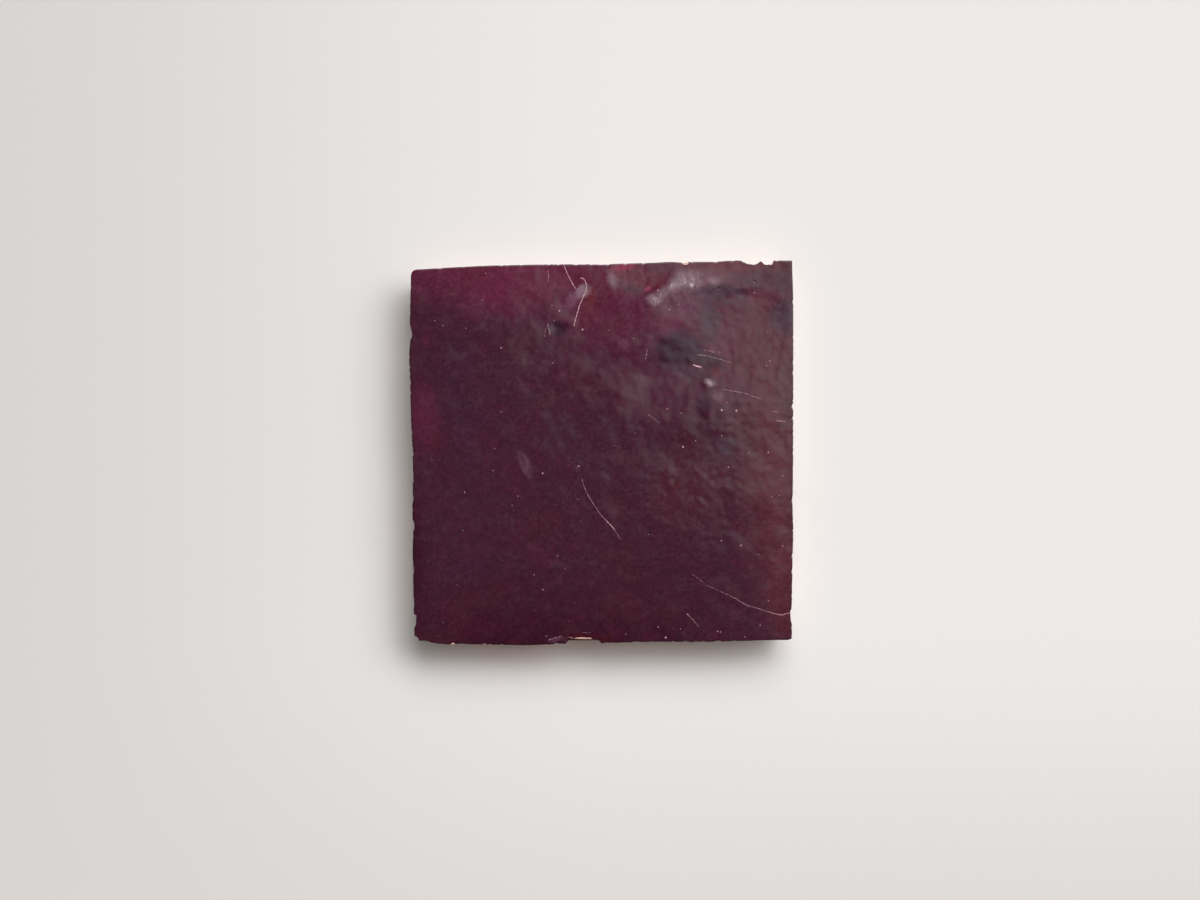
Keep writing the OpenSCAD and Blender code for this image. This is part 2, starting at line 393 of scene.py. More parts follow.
@dataclass(frozen=True)
class Marks:
    """The scratches, flecks, pits and pinholes in the glaze: the light flecks and specks are painted glints,
    the dark pits and pinholes painted shade.
    """

    bright_scratches: tuple[Scratch, ...] = (
        Scratch(((-9.8, 49.4), (-9.0, 47.2), (-7.7, 44.5), (-6.6, 42.8)), 0.22, 0.8),
        Scratch(((-5.3, 45.6), (-4.7, 45.6), (-4.1, 44.8), (-3.75, 43.8), (-4.0, 42.2), (-5.6, 38.7),
                 (-6.2, 36.6), (-7.1, 33.2)), 0.24, 0.85),
        Scratch(((24.2, 22.9), (26.0, 22.4)), 0.44, 0.9),
        Scratch(((25.2, 25.6), (27.6, 25.4)), 0.22, 0.55),
        Scratch(((45.8, 8.4), (48.0, 8.2)), 0.26, 0.5),
        Scratch(((-4.3, -9.2), (-3.2, -11.4), (-0.4, -15.7), (2.6, -19.1)), 0.2, 0.42),
        Scratch(((1.5, -17.8), (3.4, -19.9)), 0.28, 0.8),
        Scratch(((44.5, -41.8), (47.0, -42.3), (50.2, -41.6)), 0.25, 0.55),
        Scratch(((33.8, -37.3), (38.2, -39.8), (41.6, -40.8), (44.5, -41.8)), 0.2, 0.42),
    )
    faint_scratches: tuple[Scratch, ...] = (
        Scratch(((-13.8, 47.6), (-13.75, 44.8)), 0.26, 0.4),
        Scratch(((-5.1, -6.6), (-4.3, -9.2)), 0.2, 0.35),
        Scratch(((3.4, -19.9), (5.1, -22.6)), 0.2, 0.45),
        Scratch(((27.0, 26.9), (29.4, 26.3)), 0.22, 0.45),
        Scratch(((28.0, 25.3), (34.0, 23.6)), 0.22, 0.35),
        Scratch(((30.6, 16.7), (37.3, 15.7), (41.6, 14.1)), 0.24, 0.42),
        Scratch(((44.6, 10.9), (46.0, 10.8)), 0.24, 0.4),
        Scratch(((12.1, 27.2), (11.6, 24.6)), 0.2, 0.45),
        Scratch(((12.3, 10.1), (15.0, 8.0)), 0.3, 0.25),
        Scratch(((23.6, -31.4), (27.7, -34.6), (33.8, -37.3)), 0.18, 0.3),
        Scratch(((22.5, -42.0), (25.4, -45.2)), 0.2, 0.45),
        Scratch(((-13.9, 33.8), (-13.4, 31.0)), 0.26, 0.45),
        Scratch(((-14.4, 32.6), (-14.8, 30.4)), 0.24, 0.35),
        Scratch(((-13.6, -48.7), (-10.4, -47.8)), 0.3, 0.36),
        Scratch(((-8.4, -48.1), (-7.3, -48.3)), 0.28, 0.5),
        Scratch(((-4.8, -46.9), (-3.0, -47.0)), 0.2, 0.25),
    )
    # Painted glints of pinholes and bubbles.
    large_glints: Flecks = Flecks(((-10.9, 37.1), (-4.8, 32.2), (-5.9, -3.4), (31.5, 11.2), (43.6, 0.1),
                                   (21.4, 1.6), (22.6, -42.1), (-26.1, 27.4), (16.9, -48.2),
                                   (14.8, 42.4), (36.5, -24.1), (-15.2, -5.3), (35.3, 11.0)), 0.5, 1.0)
    small_glints: Flecks = Flecks((
        (-12.8, 38.5), (-12.3, 34.5), (-43.4, 34.5), (-41.3, 33.2), (-35.3, 32.6), (-31.1, 40.0),
        (-12.6, 23.5), (-26.1, 10.7), (-21.7, -11.3), (-28.2, -4.6), (-35.6, -10.3),
        (31.5, 4.6), (32.9, 13.2), (38.5, 0.1), (47.4, -5.9), (44.5, -11.3), (46.4, -11.1),
        (31.4, -22.9), (47.4, -24.2), (-17.5, -31.8), (-11.5, -26.8), (-15.2, -35.7), (43.7, -38.6),
        (31.2, -46.7), (30.4, -46.6), (6.4, -47.4), (41.5, -45.0), (37.5, -48.0), (14.9, -45.4),
        (20.7, -45.9), (33.2, -3.7), (11.8, 25.6), (17.2, 11.5), (20.9, 10.4), (44.0, 24.0), (43.1, 22.8),
        (2.1, 32.1), (8.4, 29.8), (40.0, 41.8), (43.4, 31.4), (20.3, 38.8), (17.8, 37.4), (24.7, 3.2),
        (-30.2, 46.9)), 0.36, 0.6)
    dust_and_glint_spot: Spot = Spot(26, 32, 60, 50)
    # Painted shade in the pits' hollows.
    pits: Flecks = Flecks(((-23.0, -13.4), (-6.0, -11.8), (4.0, 2.2), (-41.0, -44.0), (-44.0, -1.6),
                           (30.7, 43.0), (40.2, 44.8), (-36.0, -20.0), (12.6, -21.0)), 0.6, 0.85)

    def gather(self, flat: Wire) -> tuple[Wire, Wire]:
        """Gather the marks, with specks and pinholes strewn between those that have their own place.

        Args:
            flat: the place without its height, in millimetres.

        Returns:
            The strength of the light marks, scratches and painted glints, and of the dark ones, painted
            shade in pits and pinholes.
        """
        shaky = flat.stir(0.9, 0.12)
        # Painted glints of the listed flecks, then the scratches over them.
        light = self.large_glints.mark(shaky).at_least(self.small_glints.mark(shaky))
        light = light * flat.noise(2.6, 1.0).step(0.35, 0.6, 0.5, 1.0)
        broken = flat.noise(0.6, 3.0, 0.6)
        worn, patchy = broken.step(0.34, 0.62, 0.3, 1.15), broken.step(0.38, 0.6, 0.1, 1.0)
        for scratches, wear in ((self.bright_scratches, worn), (self.faint_scratches, patchy)):
            for scratch in scratches:
                light = light.at_least(scratch.mark(shaky) * wear)
        # Fine specks, thickest in the spot at the far right, are dust and painted glints; the other strewn
        # specks are painted glints.
        dust_and_glints = self.dust_and_glint_spot.inside(flat).step(0.0, 0.6, 0.0, 0.5)
        for grain, size, strength in ((1.1, 0.1, dust_and_glints), (1.7, 0.12, 0.28), (4.6, 0.18, 0.45)):
            speck, lot = shaky.strewn(grain, 0.4 * size, size)
            light = light.at_least(speck * lot.step(0.6, 0.95) * strength)
        # Strewn pinholes, darkened with painted shade like the listed pits.
        hole, lot = shaky.strewn(9.0, 0.108, 0.252, "Y")
        return light, self.pits.mark(shaky).at_least(hole * 0.7 * lot.step(0.4, 0.6))


@dataclass(frozen=True)
class Clay:
    """The bare clay, flashed red on the near side and paler where it was broken last.

    Sizes and heights are in millimetres. A pair says where something starts and where it is full.
    """

    roughness: float = 0.88
    cloud_grain: float = 7.0
    smoke_grain: float = 19.0
    grit_grain: float = 0.9
    grog_grain: float = 1.3
    pore_grain: float = 0.8
    flash_side: tuple[float, float] = (-47.0, -49.0)
    flash_below: tuple[float, float] = (11.5, 10.5)
    pale_above: tuple[float, float] = (10.7, 11.0)

    def colour(self, where: Wire) -> Wire:
        """Give the clay's colour.

        Args:
            where: the place, in millimetres.

        Returns:
            The colour.
        """
        recipe = where.recipe
        height = where.part("Z")
        cloudy = where.noise(self.cloud_grain, 5.0, 0.6).step(0.35, 0.68)
        colour = recipe.mix(cloudy, Tint.CLAY, Tint.CLAY_DEEP)
        smoke = where.noise(self.smoke_grain, 5.0, 0.65).step(0.52, 0.74)
        colour = recipe.mix(smoke * 0.55, colour, Tint.CLAY_SMOKE)
        flashed = where.stir(5.0, 0.8).part("Y").step(*self.flash_side, 0.0, 0.9)
        colour = recipe.mix(flashed * height.step(*self.flash_below), colour, Tint.CLAY_FLASH)
        fresh = recipe.attribute(TileSkin.FRESH).at_least(height.step(*self.pale_above))
        colour = recipe.mix(fresh, colour, Tint.CLAY_PALE)
        grit = where.noise(self.grit_grain, 4.0, 0.7).step(0.3, 0.7, 0.78, 1.2)
        colour = colour.vector("SCALE", Scale=grit)
        grog, lot = where.strewn(self.grog_grain, 0.13, 0.26)
        for low, high, tint in ((0.6, 0.7, Tint.CLAY_PALE), (0.3, 0.2, Tint.CLAY_SMOKE)):
            colour = recipe.mix(grog * 0.5 * lot.step(low, high), colour, tint)
        return colour

    def height(self, where: Wire) -> Wire:
        """Give the finest relief of the clay, in millimetres."""
        pore, _ = where.strewn(self.pore_grain, 0.08, 0.28)
        return where.noise(0.5, 5.0, 0.7) * 0.14 - pore * 0.05


@dataclass(frozen=True)
class Glaze:
    """The plum glaze, with the clay where it ends or is chipped off, and with painted reflection, glints and
    shade in its colour. Sizes are in millimetres.
    """

    glossy: float = 0.1
    dull: float = 0.22
    cloud_grain: float = 17.0
    brown_grain: float = 11.0
    veil_grain: float = 5.0
    mottle_grain: float = 1.0
    # How strong the painted shade along the rim is.
    rim_shade: float = 0.4
    edge_grain: float = 0.7
    edge_raggedness: float = 0.7
    marks: Marks = Marks()
    clay: Clay = Clay()

    washes: tuple[Stain, ...] = (
        Stain(Spot(-22, 52, 98, 42), Tint.WINE, 1.0, 0.35),
        Stain(Spot(10, 42, 40, 26), Tint.WINE, 0.5),
        Stain(Spot(28, 30, 66, 56), Tint.VIOLET, 0.85),
        Stain(Spot(46, 0, 30, 112), Tint.RUSSET, 0.9, 0.1),
        Stain(Spot(38, 24, 36, 50), Tint.RUSSET, 0.4),
        Stain(Spot(24, -8, 34, 30), Tint.RUSSET, 0.35),
        Stain(Spot(19, 10, 50, 38), Tint.GRAPE, 0.65, 0.3),
        Stain(Spot(13, 18, 40, 32), Tint.MULBERRY, 0.5),
        Stain(Spot(37, 17, 22, 20), Tint.MULBERRY, 0.45),
        Stain(Spot(-8, 24, 28, 26), Tint.MULBERRY, 0.35),
        Stain(Spot(48, -32, 16, 46), Tint.DUSTY_PINK_AND_SHEEN, 0.35),
        Stain(Spot(-46, 10, 12, 26), Tint.WINE, 0.55),
        Stain(Spot(-36, 14, 18, 46, 4), Tint.INDIGO, 0.35),
        Stain(Spot(-34, -32, 22, 16), Tint.INDIGO, 0.35),
        Stain(Spot(-14, -44, 130, 42), Tint.GRAPE, 0.8),
        Stain(Spot(-16, -54, 128, 34), Tint.AUBERGINE, 0.95, 0.3),
        Stain(Spot(49, -36, 12, 34), Tint.RUSSET, 0.6),
        Stain(Spot(-3.6, 38, 8, 18, -14), Tint.BRICK, 0.55),
        Stain(Spot(0, 34, 34, 22), Tint.WINE, 0.55),
        Stain(Spot(-49, -26, 12, 48), Tint.AUBERGINE, 0.85),
    )
    patches: tuple[Stain, ...] = (
        Stain(Spot(6.2, 48.4, 10, 4.6), Tint.CHERRY, 0.9, 0.1),
        Stain(Spot(34, 49, 44, 6), Tint.BRICK, 0.7, 0.2),
        Stain(Spot(-2.9, 40.8, 3.6, 8, -20), Tint.BRICK, 0.8),
        # The pale dusty, grey, mauve and milky patches in the far right quarter are painted reflection: the
        # broken haze of the sky on the wavy glaze, beside the real reflections of its relief. The dark slate
        # and teal patches among them are the glaze's own colour.
        Stain(Spot(9, 45.4, 13, 8, -10), Tint.DUSTY_PINK_AND_SHEEN, 0.9, 0.3),
        Stain(Spot(2.9, 45.4, 5, 7.4, 10), Tint.ASH_GREY_AND_SHEEN, 0.55, 0.2),
        Stain(Spot(8, 42.6, 11, 3.6, -10), Tint.SLATE, 0.6, 0.2),
        Stain(Spot(20, 39.4, 19, 9), Tint.MAUVE, 0.5, 0.2, 1.0),
        Stain(Spot(26, 45.8, 26, 7), Tint.DUSTY_PINK_AND_SHEEN, 0.7, 0.3),
        Stain(Spot(21.4, 45.0, 12, 7.6, 10), Tint.ASH_GREY_AND_SHEEN, 0.75, 0.1),
        Stain(Spot(29.6, 45.2, 6, 3.6), Tint.ASH_GREY_AND_SHEEN, 0.7, 0.1),
        Stain(Spot(16.8, 41.8, 12, 4, 40), Tint.ASH_GREY_AND_SHEEN, 0.6, 0.1),
        Stain(Spot(14.0, 44.4, 9.4, 4.6, 34), Tint.CLARET, 0.95, 0.5),
        Stain(Spot(12.1, 42.7, 3.4, 1.8, 25), Tint.CHERRY, 0.7),
        Stain(Spot(13.4, 40.2, 4.4, 4.4, -20), Tint.ASH_GREY_AND_SHEEN, 0.7, 0.1),
        Stain(Spot(22, 44.6, 14, 7, 10), Tint.PAINTED_REFLECTION, 0.32, 0.0, 0.5),
        Stain(Spot(14.4, 40.4, 6, 5, 20), Tint.PAINTED_REFLECTION, 0.4, 0.0, 0.4),
        Stain(Spot(23.7, 44.1, 1.5, 2.6), Tint.PAINTED_REFLECTION, 0.8, 0.0),
        Stain(Spot(18.3, 44.0, 1.0, 3.4, -20), Tint.PAINTED_REFLECTION, 0.5, 0.0),
        Stain(Spot(32, 41.6, 19, 6.4, -6), Tint.SLATE, 0.85, 0.4),
        Stain(Spot(34, 40.7, 5, 2.4), Tint.VIOLET, 0.7, 0.2),
        Stain(Spot(28.4, 34.6, 7.4, 15), Tint.SLATE, 0.8, 0.3),
        Stain(Spot(47.4, 35.6, 9, 13), Tint.SLATE, 0.9, 0.4),
        Stain(Spot(18, 34.4, 17, 7), Tint.WINE, 0.5),
        Stain(Spot(20.4, 26.6, 19, 13, 4), Tint.TEAL, 0.85, 0.4),
        Stain(Spot(23, 21, 14, 7, -12), Tint.SLATE, 0.55),
        Stain(Spot(28.2, 23.9, 11, 6.4, -14), Tint.AUBERGINE, 0.9, 0.4),
        Stain(Spot(30.2, 21.2, 5, 3.4), Tint.CLARET, 0.8, 0.2),
        # A painted highlight.
        Stain(Spot(28.4, 18.6, 4.4, 2.8, -25), Tint.PAINTED_REFLECTION, 0.5, 0.0),
        Stain(Spot(30.2, 14.6, 5, 5), Tint.ASH_GREY_AND_SHEEN, 0.4),
        Stain(Spot(26.9, 12.6, 5, 9, 8), Tint.TEAL, 0.6, 0.3),
        Stain(Spot(33, 1.6, 6.4, 8), Tint.SLATE, 0.5),
        Stain(Spot(5.6, 28.6, 7, 3, -38), Tint.MAUVE, 0.55, 0.1),
        Stain(Spot(42, 40.6, 15, 8), Tint.DUSTY_PINK_AND_SHEEN, 0.6, 0.2),
        Stain(Spot(48, 14, 7, 26), Tint.SLATE, 0.4),
        Stain(Spot(-5.0, 42.4, 6.0, 4.2, 50), Tint.ASH_GREY_AND_SHEEN, 1.0, 0.5),
        Stain(Spot(-7.4, 39.6, 5.2, 8, -25), Tint.MAUVE, 0.75, 0.4),
        Stain(Spot(-11.3, 32.6, 7.6, 5, -6), Tint.INK, 0.8, 0.45),
        Stain(Spot(-13.6, 32.4, 3, 4.2), Tint.ASH_GREY_AND_SHEEN, 0.45, 0.1, 0.4),
        Stain(Spot(-20, -2.8, 4, 10, 28), Tint.ASH_GREY_AND_SHEEN, 0.28, 0.3),
        Stain(Spot(-20.4, -2.4, 1.8, 7.2, 28), Tint.PLUM, 0.5, 0.2),
        Stain(Spot(-45.6, 31, 3, 8, 10), Tint.WINE, 0.2),
        Stain(Spot(-4.6, -48.2, 12, 3), Tint.EMBER, 0.75, 0.3),
        Stain(Spot(1, -49, 5, 3), Tint.EMBER, 0.8, 0.3),
        Stain(Spot(-11.6, -48.4, 7, 1.5, 12), Tint.MAUVE, 0.5),
        Stain(Spot(-32, -46, 18, 7), Tint.WINE, 0.12),
        Stain(Spot(12, -48, 8, 6), Tint.WINE, 0.15),
    )
    flakes: tuple[Spot, ...] = (
        Spot(-4.7, -48.38, 6.4, 0.66), Spot(22.0, 49.5, 2.4, 1.1), Spot(-38.7, -49.95, 1.7, 0.7),
        Spot(-30.4, -50.0, 1.5, 0.6), Spot(49.9, -41.6, 1.4, 1.2), Spot(45.9, 50.3, 1.4, 0.5),
    )

    def make(self) -> bpy.types.Material:
        """Build the material.

        Returns:
            The material.
        """
        material = bpy.data.materials.new("plum_glaze")
        recipe = Recipe(material)
        where = recipe.place()
        flat = where.vector("MULTIPLY", (1.0, 1.0, 0.0))
        glazed, thin = self.cover(where, flat)
        light, dark = self.marks.gather(flat)
        # Light marks: scratches, and painted glints of flecks and specks.
        colour = recipe.mix(light, self.colour(where, flat), Tint.SCRATCH_AND_GLINT)
        # Dark marks: painted shade in pits and pinholes.
        colour = recipe.mix(dark, colour, Tint.PAINTED_SHADE)
        clay = recipe.mix(thin, self.clay.colour(where), Tint.BRICK)
        height = self.height(where, dark) * glazed + self.clay.height(where) * (1 - glazed)
        bump = recipe.node("ShaderNodeBump", None, Strength=1.0, Distance=MM, Height=height, out="Normal")
        shader = recipe.node("ShaderNodeBsdfPrincipled", None, Base_Color=recipe.mix(glazed, clay, colour),
                             Roughness=self.roughness(where, glazed, light), Normal=bump, IOR=1.5)
        recipe.finish(shader)
        return material

    def cover(self, where: Wire, flat: Wire) -> tuple[Wire, Wire]:
        """Say where the glaze lies, and where only a thin burnt skin of it does.

        Args:
            where: the place, in millimetres.
            flat: the place without its height.

        Returns:
            The glaze's share and the thin skin's.
        """
        ragged = (where.noise(self.edge_grain, 4.0, 0.6) - 0.5) * self.edge_raggedness
        level = where.recipe.attribute(TileSkin.COVER) + ragged
        torn = flat.stir(0.8, 0.16)
        for flake in self.flakes:
            level = level.at_most(flake.inside(torn).step(0.0, 0.5, 1.0, 0.0))
        return level.step(0.46, 0.53), level.step(0.3, 0.44)

    def colour(self, where: Wire, flat: Wire) -> Wire:
        """Give the glaze's colour, with painted reflection in the far right quarter and painted shade along
        the rim.

        Args:
            where: the place, in millimetres.
            flat: the place without its height.

        Returns:
            The colour.
        """
        recipe = where.recipe
        cloudy = where.noise(self.cloud_grain, 4.0, 0.6).step(0.34, 0.66)
        colour = recipe.mix(cloudy * 0.2, Tint.PLUM, Tint.GRAPE)
        broad, near = flat.stir(13.0, 2.6), flat.stir(4.0, 1.0)
        for wash in self.washes:
            colour = wash.lay(broad, colour)
        brown = where.noise(self.brown_grain, 3.0, 0.5).step(0.46, 0.66)
        colour = recipe.mix(brown * 0.28, colour, Tint.UMBER)
        veil = where.noise(self.veil_grain, 4.0, 0.62)
        colour = recipe.mix(veil.step(0.5, 0.75) * 0.2, colour, Tint.WINE)
        colour = recipe.mix(veil.step(0.5, 0.28) * 0.15, colour, Tint.SLATE)
        for patch in self.patches:
            colour = patch.lay(near, colour)
        mottle = where.noise(self.mottle_grain, 4.0, 0.7).step(0.25, 0.75, 0.74, 1.26)
        colour = colour.vector("SCALE", Scale=mottle)
        # Painted shade along the rim and on the glaze that runs down the sides.
        return recipe.mix(recipe.attribute(TileSkin.RIM) * self.rim_shade, colour, Tint.PAINTED_SHADE)

    def height(self, where: Wire, dark: Wire) -> Wire:
        """Give the finest relief of the glaze, in millimetres, with its dark marks as hollows."""
        return where.noise(0.9, 3.0, 0.55) * 0.006 - dark * 0.06

    def roughness(self, where: Wire, glazed: Wire, light: Wire) -> Wire:
        """Give the roughness: glossy glaze with dull clouds, and dry clay.

        Args:
            where: the place, in millimetres.
            glazed: the glaze's share.
            light: the strength of the light marks.

        Returns:
            The roughness.
        """
        dull = where.noise(4.0, 5.0, 0.65).step(0.42, 0.72)
        glaze = (dull * (self.dull - self.glossy) + self.glossy + light * 0.3).at_most(0.6)
        return glazed * (glaze - self.clay.roughness) + self.clay.roughness


@dataclass(frozen=True)
class Dent:
    """A hollow in the glaze, or a rise where its depth is below 0, in millimetres."""

    spot: Spot
    depth: float


@dataclass(frozen=True)
class Relief:
    """The fine relief of the glazed face, in millimetres."""

    swell_grain: float = 9.0
    swell_depth: float = 0.055
    ripple_grain: float = 3.6
    ripple_depth: float = 0.022
    peel_grain: float = 1.7
    peel_depth: float = 0.022
    peel_calm: float = 0.25
    peel_fall: float = 1.5
    dent_fall: float = 2.2
    peel_spots: tuple[Spot, ...] = (Spot(40, 22, 36, 60), Spot(26, -10, 30, 30))
    dents: tuple[Dent, ...] = (
        Dent(Spot(14.0, 43.8, 9, 4.6, 34), 0.08), Dent(Spot(18.6, 44.8, 3.4, 9, -20), -0.05),
        Dent(Spot(12.4, 39.8, 8, 3.4, 20), -0.04), Dent(Spot(8, 44, 12, 7, -10), 0.05),
        Dent(Spot(2.2, 44.6, 3, 7, 10), -0.05), Dent(Spot(6, 47.4, 9, 2.6, 6), -0.03),
        Dent(Spot(32, 44, 28, 5.5, -3), -0.07), Dent(Spot(14, 21, 20, 15, 10), 0.16),
        Dent(Spot(27.4, 17.6, 4, 5, -25), -0.05), Dent(Spot(25.4, 10.6, 6, 10, 8), 0.06),
        Dent(Spot(24.6, 24.4, 9, 3, -10), -0.03), Dent(Spot(43, 34, 13, 13), 0.08),
        Dent(Spot(28.4, 35, 6, 14, -6), 0.04), Dent(Spot(-11.3, 32.6, 7, 4.6, -6), 0.045),
        Dent(Spot(-13.4, 32.2, 2.4, 3), -0.04), Dent(Spot(-20, -2.8, 4.5, 10.5, 28), -0.03),
        Dent(Spot(-20, -2.8, 2.4, 7.5, 28), 0.03), Dent(Spot(-4.9, 42.9, 4, 3.2, 50), 0.04),
        Dent(Spot(-5.6, -48.4, 12, 3), 0.12), Dent(Spot(-6, -3.5, 1.6, 1.6), 0.05),
    )

    def depth(self, places: np.ndarray) -> np.ndarray:
        """Give how far the glaze lies below the cut solid, not yet set so that none stands above it.

        Args:
            places: places in millimetres.

        Returns:
            Their depths.
        """
        flat = places[..., :2]
        spots = [spot.distance(flat) for spot in self.peel_spots]
        rough = np.max([np.exp(-self.peel_fall * away ** 4) for away in spots], axis=0)
        peel = self.peel_depth * (self.peel_calm + (1 - self.peel_calm) * rough)
        total = self.swell_depth * cloud(flat, self.swell_grain, 2)
        total += self.ripple_depth * cloud(flat, self.ripple_grain, 2)
        total += peel * cloud(flat, self.peel_grain, 1)
        for dent in self.dents:
            total += dent.depth * np.exp(-self.dent_fall * dent.spot.distance(flat) ** 2)
        return total


@dataclass(frozen=True)
class Sides:
    """How the cut sides look close by: nibbled at the rim, rough and pitted below, with runs of glaze."""

    nibble_grain: float = 1.3
    nibble_depth: float = 0.6
    nibble_fade: float = 0.9
    rough_start: float = 0.5
    rough_full: float = 2.2
    rough_grain: float = 3.4
    rough_depth: float = 0.22
    crumb_grain: float = 1.1
    crumb_depth: float = 0.13
    pit_grain: float = 4.4
    pit_size: float = 0.75
    pit_depth: float = 0.5
    glaze_end: float = 0.75
    glaze_sway: float = 0.45
    run_grain: float = 4.5
    run_length: float = 2.8
    glaze_thick: float = 0.12
    scar_skin: float = 0.25
    scar_start: float = 0.3
    nibble_least: float = 0.12
    glaze_least: float = 0.3
    sway_grain: float = 2.2
    run_least: float = 0.2
    run_shift: float = 40.0
    pit_form: float = 0.7

    def nibbles(self, places: np.ndarray) -> np.ndarray:
        """Give how far the rim is nibbled back at places in millimetres."""
        return self.nibble_depth * np.clip(cloud(places, self.nibble_grain, 2) - self.nibble_least, 0, 0.5)

    def runs(self, places: np.ndarray) -> np.ndarray:
        """Let the glaze run down from the rim.

        Args:
            places: places on the rim, in millimetres.

        Returns:
            How far down the glaze reaches there, in millimetres.
        """
        even = self.glaze_end + self.glaze_sway * cloud(places, self.sway_grain, 2)
        drip = np.clip(cloud(places + self.run_shift, self.run_grain, 1) - self.run_least, 0, 0.5)
        return np.maximum(even, self.glaze_least) + self.run_length * np.sqrt(drip * 2)

    def roughness(self, places: np.ndarray, below: np.ndarray) -> np.ndarray:
        """Give how far the clay is broken back.

        Args:
            places: places on the sides, in millimetres.
            below: their depths below the rim.

        Returns:
            The distances inwards.
        """
        grow = np.clip((below - self.rough_start) / (self.rough_full - self.rough_start), 0, 1)
        total = self.rough_depth * (0.5 + cloud(places, self.rough_grain, 3))
        total += self.crumb_depth * (0.5 + cloud(places, self.crumb_grain, 2))
        cells = [noise.voronoi(Vector(place) / self.pit_grain)[0][0] for place in places.reshape(-1, 3)]
        away = np.array(cells).reshape(below.shape) * self.pit_grain
        pit = np.clip(1 - away / self.pit_size, 0, 1)
        return np.clip(total, 0, None) * grow + self.pit_depth * pit ** self.pit_form * grow


@dataclass(frozen=True)
class PaleFloor:
    """The floor's plain finish, with painted shade that makes it a little dimmer towards the left and the
    near side.

    A pair says where that starts and where it is full, in millimetres.
    """

    roughness: float = 0.9
    # Where the painted shade starts and where it is full.
    shade_left: tuple[float, float] = (20.0, -170.0)
    shade_near: tuple[float, float] = (-40.0, -130.0)
    near_share: float = 0.7

    def make(self) -> bpy.types.Material:
        """Build the material.

        Returns:
            The material.
        """
        material = bpy.data.materials.new("pale_floor")
        recipe = Recipe(material)
        where = recipe.place()
        # Painted shade towards the left and the near side, where the light falls off.
        colour = recipe.mix(where.part("X").step(*self.shade_left), Tint.FLOOR, Tint.FLOOR_PAINTED_SHADE)
        near = where.part("Y").step(*self.shade_near, 0.0, self.near_share)
        colour = recipe.mix(near, colour, Tint.FLOOR_PAINTED_SHADE)
        recipe.finish(recipe.node("ShaderNodeBsdfPrincipled", None, Base_Color=colour,
                                  Roughness=self.roughness))
        return material


def make_object(name: str, mesh: bmesh.types.BMesh, material: bpy.types.Material) -> bpy.types.Object:
    """Make an object of a mesh, which is used up.

    Args:
        name: the object's name.
        mesh: the mesh.
        material: its material.

    Returns:
        The object.
    """
    data = bpy.data.meshes.new(name)
    mesh.to_mesh(data)
    mesh.free()
    data.materials.append(material)
    made = bpy.data.objects.new(name, data)
    bpy.context.scene.collection.objects.link(made)
    return made


class CutSolid:
    """The cut solid of one node, at which rays are cast. Places are in millimetres."""

    far_out: float = 20.0
    weld: float = 0.001

    def __init__(self, node: str) -> None:
        """Read the solid and its sizes.

        Args:
            node: the node's name.
        """
        solid = bmesh.new()
        solid.from_mesh(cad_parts[node].data)
        bmesh.ops.remove_doubles(solid, verts=solid.verts, dist=self.weld * MM)
        self.tree = BVHTree.FromBMesh(solid)
        solid.free()
        low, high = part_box(node)
        self.half = np.array([(high.x - low.x) / 2, (high.y - low.y) / 2]) / MM
        self.middle = np.array([(high.x + low.x) / 2, (high.y + low.y) / 2]) / MM
        self.top = high.z / MM

    def hit(self, start: tuple, towards: tuple) -> np.ndarray | None:
        """Give the first place that a ray from start meets, or None."""
        found = self.tree.ray_cast(Vector(start) * MM, Vector(towards))[0]
        return None if found is None else np.array(found) / MM

    def drop_to(self, plan: np.ndarray) -> np.ndarray:
        """Find the height of the face above places in plan, NaN where there is none.

        Args:
            plan: the places.

        Returns:
            The heights.
        """
        above = self.top + self.far_out
        met = [self.hit((x, y, above), (0.0, 0.0, -1.0)) for x, y in plan.reshape(-1, 2)]
        return np.array([m[2] if m is not None else np.nan for m in met]).reshape(plan.shape[:-1])


